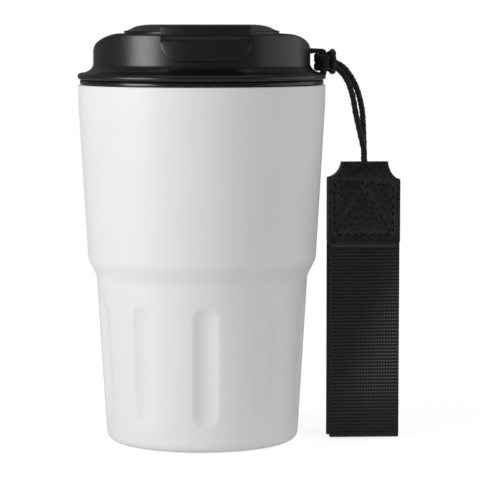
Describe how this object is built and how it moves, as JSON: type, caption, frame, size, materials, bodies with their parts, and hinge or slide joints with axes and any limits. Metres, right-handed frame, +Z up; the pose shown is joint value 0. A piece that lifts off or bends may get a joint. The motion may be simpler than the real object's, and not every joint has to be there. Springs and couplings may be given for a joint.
{
  "type": "insulated travel mug",
  "caption": "Double-walled steel travel mug with a fluted grip, a black screw lid with a flip cover, and a corded wrist strap with a leather tab.",
  "frame": {"origin": "centre of the base pad's flat face, on which the mug stands", "axes": "+Z up along the mug's turned axis; the thumb tab faces -Y; the cord lug and strap are on the +X side"},
  "size_m": [0.1152, 0.0884, 0.149],
  "materials": {
    "white_coat": "fine matte powder coat",
    "steel_bright": "brushed, bare stainless steel",
    "steel_dull": "pressed, unpolished stainless steel",
    "lid_plastic": "satin moulded black polypropylene",
    "silicone_black": "matte silicone",
    "silicone_grey": "matte silicone",
    "cord_braid": "braided polyester cord",
    "leather_black": "fine-grained smooth leather",
    "webbing_black": "ribbed nylon webbing with a slight sheen"
  },
  "bodies": {
    "mug": {"outer_shell": "white_coat", "inner_liner": "steel_bright", "shell_base_plate": "steel_dull", "getter_capsule": "steel_dull", "getter_bracket": "steel_dull", "vacuum_seal_bead": "steel_dull", "base_cap": "white_coat", "base_pad": "silicone_black"},
    "lid_seal": {"lid_gasket": "silicone_grey"},
    "lid": {"lid_shell": "lid_plastic", "lid_deck": "lid_plastic", "lid_insert": "lid_plastic", "hinge_pin": "steel_bright", "cord_knot": "cord_braid"},
    "flip_cover": {"flip_cover": "lid_plastic", "cover_liner": "lid_plastic", "spout_stopper": "silicone_black", "vent_stopper": "silicone_black"},
    "lanyard_cord": {"cord_strand_front": "cord_braid", "cord_strand_back": "cord_braid"},
    "strap": {"leather_tab": "leather_black", "strap_webbing": "webbing_black"}
  },
  "joints": [
    {"name": "lid_lift", "type": "slide", "parent": "mug", "child": "lid_seal", "axis": [0, 0, 1], "range_m": [0, 0.0241]},
    {"name": "lid_turn", "type": "hinge", "parent": "lid_seal", "child": "lid", "pos_m": [0, 0, 0.1293], "axis": [0, 0, 1], "range_deg": [0, 1080]},
    {"name": "cover_hinge", "type": "hinge", "parent": "lid", "child": "flip_cover", "pos_m": [0, 0.029, 0.1445], "axis": [-1, 0, 0], "range_deg": [0, 110]},
    {"name": "lanyard_swing", "type": "hinge", "parent": "lid", "child": "lanyard_cord", "pos_m": [0.046, 0, 0.1347], "axis": [1, 0, 0], "range_deg": [-165, 165]},
    {"name": "strap_flap", "type": "hinge", "parent": "lanyard_cord", "child": "strap", "pos_m": [0.0582, 0, 0.1002], "axis": [1, 0, 0], "range_deg": [-50, 50]}
  ],
  "couplings": [
    {"joint": "lid_lift", "follows": "lid_turn", "m_per_rad": 0.0012732}
  ]
}
